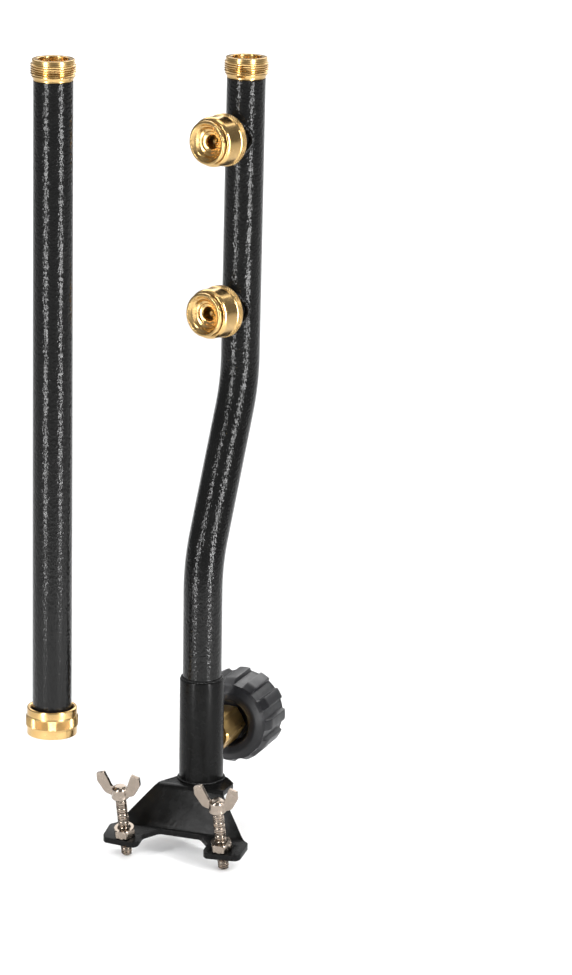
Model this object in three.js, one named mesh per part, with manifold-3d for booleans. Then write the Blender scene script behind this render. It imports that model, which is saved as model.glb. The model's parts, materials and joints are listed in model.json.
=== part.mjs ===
// A two-piece gas distribution post: an S-bent steel post with three brass outlets, which is
// screwed to a gas bottle by its handwheel nut and steadied by a foot bracket with two wing
// screws, and a straight extension that stands beside it. Millimetres, +Z up.
import * as THREE from "three";
import { mergeVertices } from "three/addons/utils/BufferGeometryUtils.js";
import Module from "manifold-3d";

const wasm = await Module();
wasm.setup();

// ---- driving dimensions -------------------------------------------------------------------

const GAP = 0.3; // between pieces that touch, or that are cut to fit one another
const TUBE_R = 11.1; // 7/8 in steel tube
const TUBE_WALL = 1.6;
const TUBE_BORE_R = TUBE_R - TUBE_WALL;
const THREAD_R = 12.7; // 1 in - 20 outlet thread, over its crests

const POST_TOP = 398; // heights are above the foot bracket's flange
const LOWER_KINK = 128;
const UPPER_KINK = 222;
const SLANT = THREE.MathUtils.degToRad(29.5); // of the leaning middle stretch
const LEAN = THREE.MathUtils.degToRad(1.5); // of the upper straight
const BEND_R = 62;

const SLEEVE_R = 12.7;
const SLEEVE_H = 60;
const SLEEVE_BORE_R = TUBE_R + GAP;
const TUBE_START = 36; // the tube's lower end, inside the sleeve
const PLUG_H = 4;

const LOWER_OUTLET = 266; // height of each side outlet's axis
const UPPER_OUTLET = 364.6;
const OUTLET_HEADING = THREE.MathUtils.degToRad(17); // from straight ahead towards -X
const GAS_HOLE_R = 4.4;

const INLET_HEIGHT = 21.5;
const MOUTH_REACH = 69; // from the post's axis to the handwheel nut's open face
const HANDWHEEL_R = 25.7;

const PLATE = 3; // the foot bracket's thickness
const EAR_TILT = THREE.MathUtils.degToRad(15);
const SCREW_X = 29.7;
const SCREW_Y = -41.4;
const SCREW_R = 3.175; // 1/4 in - 20
const SCREW_HOLE_R = 3.5;

const EXTENSION_PLACE = new THREE.Vector3(-70, -53, 34); // its lower end's centre
const EXTENSION_LENGTH = 387;

const UP = new THREE.Vector3(0, 0, 1);

// ---- materials ----------------------------------------------------------------------------

const finish = (color, metalness, roughness) =>
  new THREE.MeshStandardMaterial({ color, metalness, roughness });
const PAINT = finish(0x191918, 0.1, 0.42);
const BRASS = finish(0xd0a44c, 1, 0.24);
const ZINC = finish(0xc4c2bc, 1, 0.32);
const PLASTIC = finish(0x242427, 0, 0.5);
const RUBBER = finish(0x141414, 0, 0.75);
const SPRING_STEEL = finish(0x9a9c9e, 1, 0.35);

// ---- helpers ------------------------------------------------------------------------------

/** A named mesh. */
function piece(name, geometry, material) {
  const mesh = new THREE.Mesh(geometry, material);
  mesh.name = name;
  return mesh;
}

/** A turned solid about Z from its half section, [radius, height] points counter-clockwise. */
function turned(section, sides = 20) {
  const closed = [...section, section[0]].map(([r, z]) => new THREE.Vector2(r, z));
  return new THREE.LatheGeometry(closed, sides).rotateX(Math.PI / 2);
}

/** A plain turned ring or, with no bore, a disc. */
function ring(outer, bore, low, high, sides = 20) {
  return turned([[bore, low], [outer, low], [outer, high], [bore, high]], sides);
}

/** A solid cylinder along Z, for cutting holes. */
function drill(radius, low, high, sides = 12) {
  return ring(radius, 0, low, high, sides);
}

/** A rubber ring of round section. */
function oRing(radius, wire, height, sides = 20) {
  return new THREE.TorusGeometry(radius, wire, 5, sides).translate(0, 0, height);
}

/** An upright hexagonal prism, across its flats. */
function hexagon(flats, low, high) {
  const shape = new THREE.Shape();
  for (let corner = 0; corner < 6; corner += 1) {
    const angle = (corner + 0.5) * (Math.PI / 3);
    const reach = flats / 2 / Math.cos(Math.PI / 6);
    const move = corner === 0 ? "moveTo" : "lineTo";
    shape[move](reach * Math.cos(angle), reach * Math.sin(angle));
  }
  shape.closePath();
  return new THREE.ExtrudeGeometry(shape, { depth: high - low, bevelEnabled: false })
    .translate(0, 0, low);
}

/** A geometry as a solid that can be joined and cut. */
function solid(geometry) {
  const bare = geometry.clone();
  bare.deleteAttribute("normal");
  bare.deleteAttribute("uv");
  const merged = mergeVertices(bare, 1e-4);
  const corners = merged.index.array;
  const kept = [];
  for (let i = 0; i < corners.length; i += 3) {
    const [a, b, c] = [corners[i], corners[i + 1], corners[i + 2]];
    if (a !== b && b !== c && c !== a) kept.push(a, b, c);
  }
  return new wasm.Manifold(new wasm.Mesh({
    numProp: 3,
    vertProperties: new Float32Array(merged.attributes.position.array),
    triVerts: new Uint32Array(kept),
  }));
}

/** A joined or cut solid as a geometry. */
function geometryOf(body) {
  const mesh = body.getMesh();
  const geometry = new THREE.BufferGeometry();
  geometry.setAttribute("position", new THREE.BufferAttribute(mesh.vertProperties, 3));
  geometry.setIndex(new THREE.BufferAttribute(mesh.triVerts, 1));
  return geometry;
}

/** The first geometry with others joined to it and others cut from it. */
function shaped(base, { joined = [], cut = [] }) {
  let body = solid(base);
  for (const extra of joined) body = body.add(solid(extra));
  for (const hole of cut) body = body.subtract(solid(hole));
  return geometryOf(body);
}

/** A group whose +Z points along a direction, at a place. */
function aimed(direction, place) {
  const group = new THREE.Group();
  group.quaternion.setFromUnitVectors(UP, direction.clone().normalize());
  group.position.copy(place);
  return group;
}

/** A compression spring about Z, with open ends. */
function coilSpring(radius, wire, low, high, turns = 3) {
  class Helix extends THREE.Curve {
    getPoint(t, target = new THREE.Vector3()) {
      const angle = t * turns * 2 * Math.PI;
      const height = low + wire + t * (high - low - 2 * wire);
      return target.set(radius * Math.cos(angle), radius * Math.sin(angle), height);
    }
  }
  const section = new THREE.Shape();
  section.absarc(0, 0, wire, 0, 2 * Math.PI);
  return new THREE.ExtrudeGeometry(section, {
    curveSegments: 3,
    steps: turns * 8,
    extrudePath: new Helix(),
  });
}

/** The hollow section of the post's tube. */
function tubeSection() {
  const section = new THREE.Shape();
  section.absarc(0, 0, TUBE_R, 0, 2 * Math.PI);
  const bore = new THREE.Path();
  bore.absarc(0, 0, TUBE_BORE_R, 0, 2 * Math.PI, true);
  section.holes.push(bore);
  return section;
}

// ---- the bent tube's centreline ------------------------------------------------------------

/** A bent tube's centreline in the YZ plane. Its even steps fall on the ends of its straights
    and at even angles round its bends. */
class BentPath extends THREE.Curve {
  constructor() {
    super();
    this.stations = [{ y: 0, z: TUBE_START, heading: 0 }];
  }

  get end() {
    return this.stations[this.stations.length - 1];
  }

  straight(length) {
    const { y, z, heading } = this.end;
    this.stations.push({
      y: y + length * Math.sin(heading),
      z: z + length * Math.cos(heading),
      heading,
    });
    return this;
  }

  bend(turn, steps = 4) {
    const { y, z, heading } = this.end;
    const radius = BEND_R * Math.sign(turn);
    for (let step = 1; step <= steps; step += 1) {
      const now = heading + (turn * step) / steps;
      this.stations.push({
        y: y + radius * (Math.cos(heading) - Math.cos(now)),
        z: z + radius * (Math.sin(now) - Math.sin(heading)),
        heading: now,
      });
    }
    return this;
  }

  stationAt(u) {
    return this.stations[Math.round(u * (this.stations.length - 1))];
  }

  getPoint(t, target = new THREE.Vector3()) {
    const { y, z } = this.stationAt(t);
    return target.set(0, y, z);
  }

  getPointAt(u, target) {
    return this.getPoint(u, target);
  }

  getTangentAt(u, target = new THREE.Vector3()) {
    const { heading } = this.stationAt(u);
    return target.set(0, Math.sin(heading), Math.cos(heading));
  }
}

const upperTurn = SLANT - LEAN;
const lowerTangent = BEND_R * Math.tan(SLANT / 2);
const upperTangent = BEND_R * Math.tan(upperTurn / 2);
const kinkToKink = (UPPER_KINK - LOWER_KINK) / Math.cos(SLANT);
const upperLength = (POST_TOP - UPPER_KINK) / Math.cos(LEAN);
const postPath = new BentPath()
  .straight(LOWER_KINK - TUBE_START - lowerTangent)
  .bend(SLANT)
  .straight(kinkToKink - lowerTangent - upperTangent)
  .bend(-upperTurn)
  .straight(upperLength - upperTangent);

const upperDirection = new THREE.Vector3(0, Math.sin(LEAN), Math.cos(LEAN));
const upperKinkPlace = new THREE.Vector3(
  0, (UPPER_KINK - LOWER_KINK) * Math.tan(SLANT), UPPER_KINK);

/** The point on the upper straight's axis at a height. */
function onUpperAxis(height) {
  const along = (height - UPPER_KINK) / Math.cos(LEAN);
  return upperKinkPlace.clone().addScaledVector(upperDirection, along);
}

/** Square to the upper straight, turned from straight ahead towards -X. */
const outletDirection = new THREE.Vector3(
  -Math.sin(OUTLET_HEADING),
  -Math.cos(OUTLET_HEADING) * Math.cos(LEAN),
  Math.cos(OUTLET_HEADING) * Math.sin(LEAN),
);

// ---- a self-closing outlet valve -----------------------------------------------------------

const VALVE = {
  seatBoreR: 3.2,
  chamberR: 5.5,
  seat: 2, // thickness of the seat's lip
};

/** A sprung poppet with its seal, spring and clip, closed against a seat at a height on Z. */
function outletValve(prefix, seatHeight, pinReach) {
  const group = new THREE.Group();
  group.position.z = seatHeight;
  const poppet = turned([
    [0, -6.7], [1.4, -6.7], [1.4, -2.5], [4.6, -2.5],
    [4.6, -1.4], [1.5, -1.4], [1.5, pinReach - 0.5], [1, pinReach], [0, pinReach],
  ], 12);
  group.add(
    piece(`${prefix}_valve_stem`, poppet, BRASS),
    piece(`${prefix}_valve_seal`, ring(4.4, 1.8, -1.1, -0.3, 12), RUBBER),
    piece(`${prefix}_valve_spring`, coilSpring(3.3, 0.4, -7, -2.8), SPRING_STEEL),
    piece(`${prefix}_spring_clip`, ring(VALVE.chamberR - GAP, 2.5, -8.5, -7.3, 12), SPRING_STEEL),
  );
  return group;
}

// ---- the post's top outlet, which the extension repeats -------------------------------------

const TOP_FITTING = {
  height: 12.2, seat: 1, boreR: 8.65, floor: 4.6, pinReach: 7.7, leadR: 11.8, spigot: 10,
  neckEnd: 1, threadLow: 3.6, threadHigh: 9.8,
};

/** A male-threaded outlet that plugs into the end of a tube, whose rim is at height 0. */
function topFitting(prefix) {
  const group = new THREE.Group();
  const { height, seat, boreR, floor, leadR, spigot, neckEnd, threadLow, threadHigh } = TOP_FITTING;
  const body = turned([
    [VALVE.chamberR, -spigot], [TUBE_BORE_R - GAP, -spigot], [TUBE_BORE_R - GAP, GAP],
    [TUBE_R, GAP], [TUBE_R, neckEnd], [THREAD_R, threadLow], [THREAD_R, threadHigh],
    [leadR, threadHigh + 0.5], [leadR, height], [boreR, height], [boreR, floor], [4.1, floor],
    [4.1, seat + VALVE.seat], [VALVE.seatBoreR, seat + VALVE.seat],
    [VALVE.seatBoreR, seat], [VALVE.chamberR, seat],
  ]);
  group.add(piece(`${prefix}_outlet`, body, BRASS), outletValve(prefix, seat, TOP_FITTING.pinReach));
  return group;
}

// ---- a side outlet ------------------------------------------------------------------------

const SIDE = { rim: 35.1, seat: 20, neckR: 9, bodyR: 11, knurlR: 15.15, bandR: 14.3 };

/** A self-closing outlet welded square to the tube, with its knurled collar. */
function sideOutlet(prefix, height) {
  const group = aimed(outletDirection, onUpperAxis(height));
  const alongTube = upperDirection.clone().applyQuaternion(group.quaternion.clone().invert());
  const turn = new THREE.Quaternion().setFromUnitVectors(UP, alongTube);
  const tubeCut = drill(TUBE_R + GAP, -30, 30, 20).applyQuaternion(turn);
  const { rim, seat, neckR, bodyR, knurlR, bandR } = SIDE;
  const nozzle = turned([
    [VALVE.chamberR, 5], [neckR, 5], [neckR, 16], [bodyR, 16], [bodyR, 32.4], [12.5, 32.4],
    [12.7, 34.3], [12, rim], [10.75, rim], [7.75, 32.1], [5, 29.9], [4.1, 29.9],
    [4.1, seat + VALVE.seat], [VALVE.seatBoreR, seat + VALVE.seat],
    [VALVE.seatBoreR, seat], [VALVE.chamberR, seat],
  ]);
  const collar = turned([
    [bodyR + GAP, 16.2], [knurlR - 0.8, 16.2], [knurlR, 17], [knurlR, 20.8],
    [bandR, 21.6], [bandR, 30.6], [13.2, 32], [bodyR + GAP, 32],
  ]);
  const bead = turned([[neckR + GAP, 5], [13.4, 5], [13.4, 9.5], [neckR + GAP, 15.6]]);
  group.add(
    piece(`${prefix}_outlet_nozzle`, shaped(nozzle, { cut: [tubeCut] }), BRASS),
    piece(`${prefix}_outlet_collar`, collar, BRASS),
    piece(`${prefix}_outlet_weld`, shaped(bead, { cut: [tubeCut] }), PAINT),
    outletValve(prefix, seat, 7.5),
  );
  return group;
}

/** The hole in the tube's wall behind a side outlet. */
function gasHole(height) {
  const hole = aimed(outletDirection, onUpperAxis(height));
  hole.updateMatrix();
  return drill(GAS_HOLE_R, 4, TUBE_R + 3, 12).applyMatrix4(hole.matrix);
}

// ---- the inlet: nipple and handwheel nut ------------------------------------------------------

const NIPPLE = {
  start: 7, hexStart: 14.2, hexEnd: 41.5, neckR: 7, shoulderR: 11, shoulder: 51.5,
  shoulderEnd: 54, tip: 62.5, noseR: 7.6, boreR: 4.5, boreStep: 44, throatR: 2.5, flats: 19.6,
};
const HANDWHEEL = {
  near: 37, floor: 44.2, wallEnd: 49, bodyR: 23.7, ribs: 12, ribWidth: 6.4,
  hubR: 12.6, socketR: 16.7,
};

/** The inlet, along +Y from the sleeve's rear wall to the nut's open mouth. */
function inlet() {
  const group = aimed(new THREE.Vector3(0, 1, 0), new THREE.Vector3(0, 0, INLET_HEIGHT));
  const n = NIPPLE;
  const stem = turned([
    [n.throatR, n.start], [6.5, n.start], [6.5, n.hexStart + 1], [n.neckR, n.hexStart + 1],
    [n.neckR, n.shoulder], [n.shoulderR, n.shoulder], [n.shoulderR, n.shoulderEnd],
    [n.noseR, n.shoulderEnd], [n.noseR, 57], [6.9, 57.2], [6.9, 58.8], [7.3, 59],
    [5.4, n.tip], [n.boreR, n.tip], [n.boreR, n.boreStep], [n.throatR, n.boreStep],
  ]);
  const hex = shaped(hexagon(n.flats, n.hexStart, n.hexEnd), {
    cut: [drill(6.6, n.hexStart - 1, n.hexEnd + 1)],
  });
  const nipple = shaped(stem, { joined: [hex] });

  const h = HANDWHEEL;
  const wheelBody = turned([
    [n.neckR + 2 * GAP, h.floor], [h.hubR, h.floor], [h.hubR + 1.6, h.near],
    [h.bodyR - 5.2, h.near], [h.bodyR - 1, h.near + 4.4], [h.bodyR, h.near + 10],
    [h.bodyR, MOUTH_REACH], [h.socketR, MOUTH_REACH], [h.socketR, h.wallEnd],
    [n.neckR + 2 * GAP, h.wallEnd],
  ], 24);
  const ribs = [];
  for (let index = 0; index < h.ribs; index += 1) {
    const side = new THREE.Shape([
      new THREE.Vector2(h.bodyR - 2, h.near + 3.4),
      new THREE.Vector2(h.bodyR, h.near + 4.4),
      new THREE.Vector2(HANDWHEEL_R, h.near + 11),
      new THREE.Vector2(HANDWHEEL_R, MOUTH_REACH - 1.2),
      new THREE.Vector2(h.bodyR - 2, MOUTH_REACH - 1.2),
    ]);
    const rib = new THREE.ExtrudeGeometry(side, { depth: h.ribWidth, bevelEnabled: false })
      .translate(0, 0, -h.ribWidth / 2)
      .rotateX(Math.PI / 2)
      .rotateZ((index * 2 * Math.PI) / h.ribs);
    ribs.push(rib);
  }
  group.add(
    piece("inlet_nipple", nipple, BRASS),
    piece("handwheel_nut", shaped(wheelBody, { joined: ribs }), PLASTIC),
    piece("thermal_bushing", ring(12, n.neckR + GAP, 49.3, 51.2), PLASTIC),
    piece("nipple_seal", oRing(7.85, 0.6, 58), RUBBER),
    piece("flow_limiter_poppet", turned([
      [0, 47.5], [1.5, 47.5], [1.5, 54], [4, 54], [4, 56.4], [2, 57.4], [0, 57.4],
    ], 12), BRASS),
    piece("flow_limiter_spring", coilSpring(3.2, 0.4, 44.3, 53.7, 5), SPRING_STEEL),
    piece("flow_limiter_clip", ring(n.boreR - GAP, 2.4, 59.2, 60.6, 12), SPRING_STEEL),
  );
  return group;
}

// ---- the sleeve, tube and foot bracket --------------------------------------------------------

/** The sleeve, its plug and welds, and the bent tube with its outlets' gas holes. */
function column() {
  const group = new THREE.Group();
  const nippleHole = drill(6.8, 6, 20).rotateX(-Math.PI / 2).translate(0, 0, INLET_HEIGHT);
  const sleeve = turned([
    [SLEEVE_BORE_R, GAP], [SLEEVE_R, GAP], [SLEEVE_R, SLEEVE_H - 1.2],
    [SLEEVE_R - 0.5, SLEEVE_H], [SLEEVE_BORE_R, SLEEVE_H],
  ]);
  const tube = new THREE.ExtrudeGeometry(tubeSection(), {
    curveSegments: 10,
    steps: postPath.stations.length - 1,
    extrudePath: postPath,
  });
  const topWeld = turned([
    [TUBE_R + GAP, SLEEVE_H + GAP], [SLEEVE_R - 0.1, SLEEVE_H + GAP],
    [SLEEVE_R - 0.5, SLEEVE_H + 1.2], [TUBE_R + GAP, SLEEVE_H + 2.2],
  ]);
  const baseWeld = turned([
    [SLEEVE_R + GAP, GAP], [SLEEVE_R + 2.6, GAP], [SLEEVE_R + 1.2, 1.6], [SLEEVE_R + GAP, 2.6],
  ]);
  group.add(
    piece("base_sleeve", shaped(sleeve, { cut: [nippleHole] }), PAINT),
    piece("base_plug", ring(SLEEVE_BORE_R - GAP, 0, GAP, PLUG_H), PAINT),
    piece("sleeve_base_weld", baseWeld, PAINT),
    piece("sleeve_top_weld", topWeld, PAINT),
    piece("post_tube", shaped(tube, {
      cut: [gasHole(LOWER_OUTLET), gasHole(UPPER_OUTLET)],
    }), PAINT),
  );
  return group;
}

const BRACKET = {
  flangeFront: -17.5, // where the flange folds down into the web
  webFoot: -31, // where the web folds out into the ears
  webDrop: 22.5,
  rear: 11,
  front: -52,
};
// One side of the bracket's plan in front of the flange, from the fold to the notch between the ears.
const EAR_PLAN = [
  [20.5, -18], [38, -30.5], [42.5, -33], [42, -44.5], [40, -46.5],
  [22, -47.8], [19.8, -45.5], [20, -38.5], [12.5, -31.5],
];

/** The height of the ears' upper face at a distance in front of the post. */
function earHeight(y) {
  return -BRACKET.webDrop + (y - BRACKET.webFoot) * Math.tan(EAR_TILT);
}

/** A frame on an ear's upper face at its screw, with +Z square to the ear. */
function earFrame(side) {
  const square = new THREE.Vector3(0, -Math.sin(EAR_TILT), Math.cos(EAR_TILT));
  return aimed(square, new THREE.Vector3(side * SCREW_X, SCREW_Y, earHeight(SCREW_Y)));
}

/** The bent foot bracket: a strip of plate folded as seen from the side, cut to its plan. */
function footBracket() {
  const { flangeFront, webFoot, webDrop, rear, front } = BRACKET;
  const webRun = flangeFront - webFoot;
  const webSlope = Math.atan2(webDrop, webRun);
  const flangeInset = PLATE * Math.tan(webSlope / 2);
  const earInset = PLATE * Math.tan((webSlope - EAR_TILT) / 2);
  const fold = new THREE.Shape([
    new THREE.Vector2(rear, 0),
    new THREE.Vector2(flangeFront, 0),
    new THREE.Vector2(webFoot, -webDrop),
    new THREE.Vector2(front, earHeight(front)),
    new THREE.Vector2(front, earHeight(front) - PLATE / Math.cos(EAR_TILT)),
    new THREE.Vector2(
      webFoot + PLATE * Math.sin(EAR_TILT) + earInset * Math.cos(EAR_TILT),
      -webDrop - PLATE * Math.cos(EAR_TILT) + earInset * Math.sin(EAR_TILT)),
    new THREE.Vector2(flangeFront + flangeInset, -PLATE),
    new THREE.Vector2(rear, -PLATE),
  ]);
  const strip = new THREE.ExtrudeGeometry(fold, { depth: 120, bevelEnabled: false })
    .translate(0, 0, -60)
    .applyMatrix4(new THREE.Matrix4().makeBasis(
      new THREE.Vector3(0, 1, 0), UP, new THREE.Vector3(1, 0, 0)));
  const right = [[8, rear - 1], [14, 6], [21, -2], ...EAR_PLAN];
  const left = [[-8, rear - 1], [-13.5, -2], ...EAR_PLAN.map(([x, y]) => [-x, y])];
  const plan = new THREE.Shape(
    [...left, ...right.reverse()].map(([x, y]) => new THREE.Vector2(x, y)));
  const outline = new THREE.ExtrudeGeometry(plan, { depth: 60, bevelEnabled: false })
    .translate(0, 0, -50);
  const holes = [-1, 1].map((side) => {
    const place = earFrame(side);
    place.updateMatrix();
    return drill(SCREW_HOLE_R, -12, 8).applyMatrix4(place.matrix);
  });
  const bent = geometryOf(solid(strip).intersect(solid(outline)));
  return piece("foot_bracket", shaped(bent, { cut: holes }), PAINT);
}

// ---- the wing screws --------------------------------------------------------------------------

const SCREW = {
  tip: -12.6, hubLow: 25.9, hubHigh: 32.4, hubR: 4.5, rodTop: 32,
  wingThickness: 2.2, nutFlats: 11.1, nutHeight: 5,
};

/** A wing screw and its jam nut, standing square on an ear. */
function wingScrew(prefix, side, wingTurn) {
  const group = earFrame(side);
  const s = SCREW;
  const rod = turned([
    [0, s.tip], [SCREW_R - 0.7, s.tip], [SCREW_R, s.tip + 0.9],
    [SCREW_R, s.rodTop - 0.6], [SCREW_R - 0.6, s.rodTop], [0, s.rodTop],
  ], 16);
  const hub = turned([
    [SCREW_HOLE_R, s.hubLow], [s.hubR + 0.6, s.hubLow], [s.hubR, s.hubLow + 2],
    [s.hubR - 0.3, s.hubHigh], [SCREW_HOLE_R, s.hubHigh],
  ], 16);
  const wing = new THREE.Shape();
  wing.moveTo(3.9, 0.6);
  wing.quadraticCurveTo(9, 2.5, 12.2, 12);
  wing.quadraticCurveTo(12.6, 15, 9.8, 15.6);
  wing.quadraticCurveTo(8, 15.4, 6.9, 12.4);
  wing.quadraticCurveTo(5.6, 7.6, 3.9, 5.8);
  wing.closePath();
  const wings = [0, Math.PI].map((turn) =>
    new THREE.ExtrudeGeometry(wing, {
      depth: s.wingThickness, bevelEnabled: false, curveSegments: 4,
    })
      .translate(0, 0, -s.wingThickness / 2)
      .rotateX(Math.PI / 2)
      .translate(0, 0, s.hubLow)
      .rotateZ(turn));
  const head = shaped(hub, { joined: wings }).rotateZ(wingTurn);
  const nut = shaped(hexagon(s.nutFlats, GAP, GAP + s.nutHeight), {
    cut: [drill(SCREW_HOLE_R, -1, s.nutHeight + 2)],
  });
  group.add(
    piece(`${prefix}_screw_rod`, rod, ZINC),
    piece(`${prefix}_wing_head`, head, ZINC),
    piece(`${prefix}_jam_nut`, nut, ZINC),
  );
  return group;
}

// ---- the extension post -----------------------------------------------------------------------

const COUPLING = {
  height: 16, threadR: 12.9, lip: 12, lipR: TUBE_R + 0.5, bandR: 14.15, knurlR: 14.85,
  bandHeight: 4.8, flangeR: 12.3, flangeLow: 9.4, flangeHigh: 11.6, noseR: 8.2, noseEnd: 5,
};

/** The straight extension: a tube with an outlet on top and a coupling nut below. */
function extension() {
  const group = new THREE.Group();
  group.position.copy(EXTENSION_PLACE);
  const c = COUPLING;
  const tubeLow = c.flangeHigh + GAP;
  const tubeHigh = EXTENSION_LENGTH - TOP_FITTING.height;
  const tail = turned([
    [1, c.noseEnd], [c.noseR - 0.8, c.noseEnd], [c.noseR, c.noseEnd + 0.8], [c.noseR, 6.2],
    [6.9, 6.2], [6.9, 8.2], [c.noseR, 8.2], [c.noseR, c.flangeLow], [c.flangeR, c.flangeLow],
    [c.flangeR, c.flangeHigh], [TUBE_BORE_R - GAP, c.flangeHigh], [TUBE_BORE_R - GAP, 22],
    [4, 22], [4, c.noseEnd + 1.5], [1, c.noseEnd + 1.5],
  ]);
  const nut = turned([
    [c.threadR, 0], [c.bandR - 0.4, 0], [c.bandR, 0.5], [c.bandR, c.bandHeight - 0.4],
    [c.knurlR, c.bandHeight], [c.knurlR, c.height - c.bandHeight],
    [c.bandR, c.height - c.bandHeight + 0.4], [c.bandR, c.height - 0.5],
    [c.bandR - 0.6, c.height], [c.lipR + 0.9, c.height], [c.lipR, c.height - 1.2],
    [c.lipR, c.lip], [c.threadR, c.lip],
  ], 24);
  const top = topFitting("extension");
  top.position.z = tubeHigh;
  group.add(
    piece("extension_tube", ring(TUBE_R, TUBE_BORE_R, tubeLow, tubeHigh), PAINT),
    piece("extension_tail", tail, BRASS),
    piece("extension_o_ring", oRing(7.85, 0.65, 7.2), RUBBER),
    piece("coupling_nut", nut, BRASS),
    top,
  );
  return group;
}

// ---- the whole, with its origin at the centre of the handwheel nut's mouth ------------------------

const whole = new THREE.Group();
whole.position.set(0, -MOUTH_REACH, -INLET_HEIGHT);
const top = topFitting("top");
top.position.copy(onUpperAxis(POST_TOP));
top.quaternion.setFromUnitVectors(UP, upperDirection);
whole.add(
  column(),
  footBracket(),
  inlet(),
  top,
  sideOutlet("upper", UPPER_OUTLET),
  sideOutlet("lower", LOWER_OUTLET),
  wingScrew("left", -1, 0),
  wingScrew("right", 1, 0),
  extension(),
);

export default whole;
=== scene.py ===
"""Looks for a two-piece gas distribution post: an S-bent steel post with brass outlets, a
handwheel inlet nut and a foot bracket with wing screws, and a straight extension beside it."""
import json
import logging
import math
from collections.abc import Callable, Sequence
from dataclasses import dataclass, field
from enum import Enum

import bmesh
import bpy
from mathutils import Matrix, Vector


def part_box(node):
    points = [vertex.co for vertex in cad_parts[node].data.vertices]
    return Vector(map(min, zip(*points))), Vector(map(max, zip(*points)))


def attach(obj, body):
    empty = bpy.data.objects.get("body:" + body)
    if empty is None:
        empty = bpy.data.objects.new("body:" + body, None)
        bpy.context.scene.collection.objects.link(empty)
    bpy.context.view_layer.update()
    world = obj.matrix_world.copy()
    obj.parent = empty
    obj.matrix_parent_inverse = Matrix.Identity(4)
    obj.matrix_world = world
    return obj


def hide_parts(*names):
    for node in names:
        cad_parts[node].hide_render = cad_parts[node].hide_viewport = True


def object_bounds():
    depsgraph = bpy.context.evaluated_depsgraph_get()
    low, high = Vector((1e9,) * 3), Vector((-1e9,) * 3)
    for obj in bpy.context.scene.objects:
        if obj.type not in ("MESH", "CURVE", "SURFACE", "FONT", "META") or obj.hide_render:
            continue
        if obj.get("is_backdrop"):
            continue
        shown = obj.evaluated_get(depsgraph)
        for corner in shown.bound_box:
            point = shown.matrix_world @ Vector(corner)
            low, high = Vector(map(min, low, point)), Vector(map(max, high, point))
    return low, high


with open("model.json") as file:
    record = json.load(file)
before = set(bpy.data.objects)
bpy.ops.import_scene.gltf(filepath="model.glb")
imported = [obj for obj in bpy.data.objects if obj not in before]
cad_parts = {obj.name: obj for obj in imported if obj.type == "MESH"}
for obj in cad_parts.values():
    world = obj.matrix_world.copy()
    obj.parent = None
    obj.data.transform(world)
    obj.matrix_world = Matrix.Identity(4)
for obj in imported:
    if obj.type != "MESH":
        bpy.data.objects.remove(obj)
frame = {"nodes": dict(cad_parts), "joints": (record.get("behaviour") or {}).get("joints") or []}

LOG = logging.getLogger("gas_post")
MM = 0.001
TAU = 2 * math.pi
UP = Vector((0, 0, 1))
SHARP_ANGLE = math.radians(32)

Outline = Sequence[tuple[float, ...]]
Bulge = Callable[[float, float, float], float]


class Side(Enum):
    """Which foot screw: the one towards -X or the one towards +X."""

    LEFT = -1
    RIGHT = 1


class Slot(Enum):
    """The record's material slots."""

    PAINT = "paint"
    BRASS = "brass"
    ZINC = "zinc_plate"
    PLASTIC = "black_plastic"
    RUBBER = "rubber"
    SPRING = "spring_steel"


# ---- node trees ------------------------------------------------------------------------------


class Tree:
    """A short way to write a shader or geometry node tree."""

    def __init__(self, tree: bpy.types.NodeTree) -> None:
        """Wraps a tree.

        Args:
            tree: the node tree to add to.
        """
        self.tree = tree

    def add(self, kind: str, inputs: dict | None = None, **properties: object) -> bpy.types.Node:
        """Adds a node.

        Args:
            kind: the node's type name.
            inputs: socket name or number to a value, or to the output socket to link from.
            properties: the node's own settings.

        Returns:
            The new node.
        """
        node = self.tree.nodes.new(kind)
        for name, value in properties.items():
            setattr(node, name, value)
        for key, value in (inputs or {}).items():
            socket = node.inputs[key]
            if isinstance(value, bpy.types.NodeSocket):
                self.tree.links.new(value, socket)
            else:
                socket.default_value = value
        return node

    def math(self, operation: str, first: object, second: object = 0.0) -> bpy.types.NodeSocket:
        """Adds a math node and returns its output."""
        return self.add("ShaderNodeMath", {0: first, 1: second}, operation=operation).outputs[0]


# ---- finishes --------------------------------------------------------------------------------


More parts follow.
